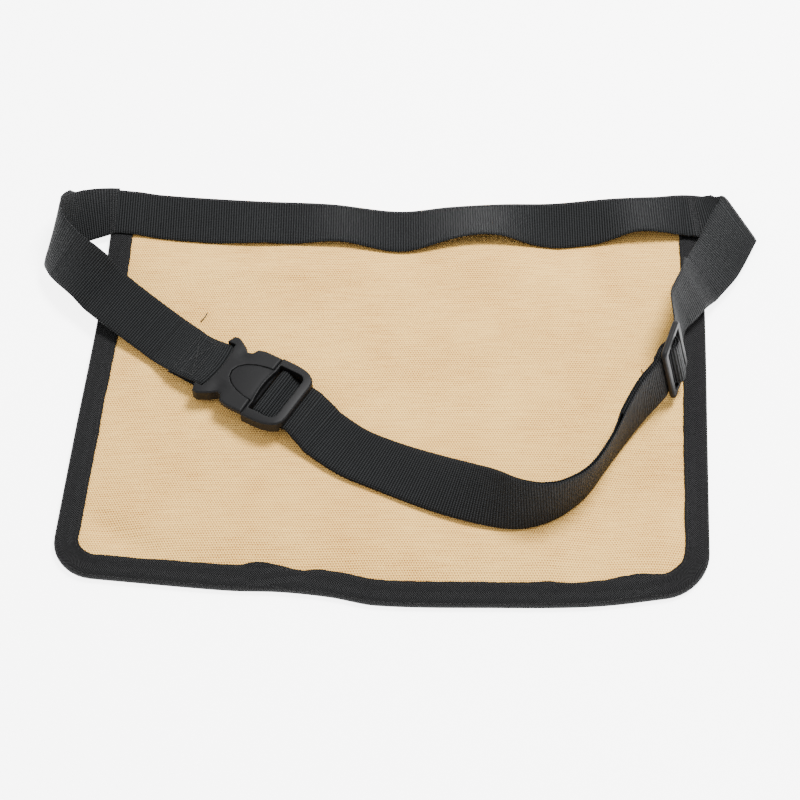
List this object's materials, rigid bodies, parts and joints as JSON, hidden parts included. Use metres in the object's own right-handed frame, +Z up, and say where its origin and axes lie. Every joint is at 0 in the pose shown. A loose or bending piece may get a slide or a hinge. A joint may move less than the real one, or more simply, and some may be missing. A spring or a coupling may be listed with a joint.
{
  "type": "tool waist bag",
  "caption": "Flat canvas waist bag with an open pocket, bound edges and a buckled webbing belt fastened across its back, lying face down.",
  "frame": {"origin": "on the floor under the middle of the bag, on the flat underside of its pocket layer", "axes": "+X across the bag to its right side as it lies, +Y from the pocket's closed bottom to the belt edge, +Z up from the floor through the back"},
  "size_m": [0.5056, 0.3365, 0.0595],
  "materials": {
    "canvas": "plain-woven tan cotton canvas",
    "binding_tape": "black twill tape",
    "webbing": "black ribbed webbing",
    "buckle_plastic": "satin moulded acetal"
  },
  "bodies": {
    "root": {"back_panel": "canvas", "pocket_panel": "canvas", "edge_binding": "binding_tape", "waist_belt": "webbing", "left_strap": "webbing", "adjuster_strap": "webbing", "buckle_plug": "buckle_plastic", "buckle_socket": "buckle_plastic", "strap_slider": "buckle_plastic"}
  },
  "joints": []
}
